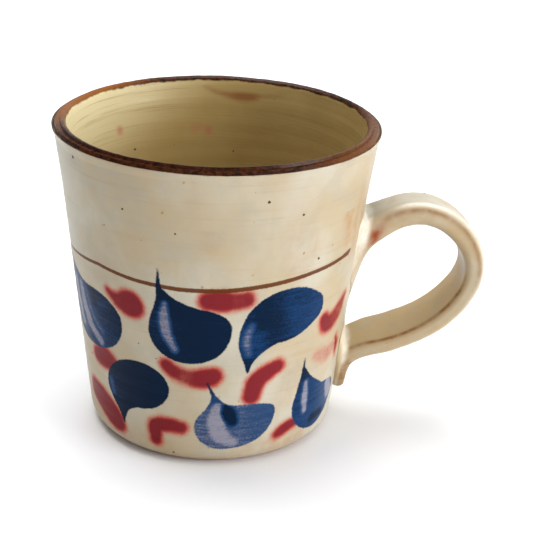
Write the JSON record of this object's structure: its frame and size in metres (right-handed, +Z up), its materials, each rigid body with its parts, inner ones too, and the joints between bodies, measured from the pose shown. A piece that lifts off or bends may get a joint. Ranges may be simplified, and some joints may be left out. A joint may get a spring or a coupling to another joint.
{
  "type": "stoneware mug",
  "caption": "Wheel-thrown tapered stoneware mug with an everted brown-banded lip, a pulled strap handle and brush-painted drops and dabs.",
  "frame": {"origin": "centre of the flat base, on the cup's axis, at table height", "axes": "+Z up along the cup's axis; +X from the axis towards the handle; +Y completes a right-handed frame"},
  "size_m": [0.1211, 0.09, 0.0895],
  "materials": {
    "clay": "unglazed buff-brown stoneware, matte",
    "clear_glaze": "clear glossy glaze over cream slip with blue and red brush painting",
    "liner_glaze": "glossy olive-cream liner glaze",
    "iron_glaze": "glossy iron-brown band"
  },
  "bodies": {
    "root": {"cup_body": "clay", "handle": "clay", "upper_slip": "clay", "lower_slip": "clay", "liner_glaze": "liner_glaze", "outer_glaze": "clear_glaze", "handle_glaze": "clear_glaze", "rim_band": "iron_glaze"}
  },
  "joints": []
}
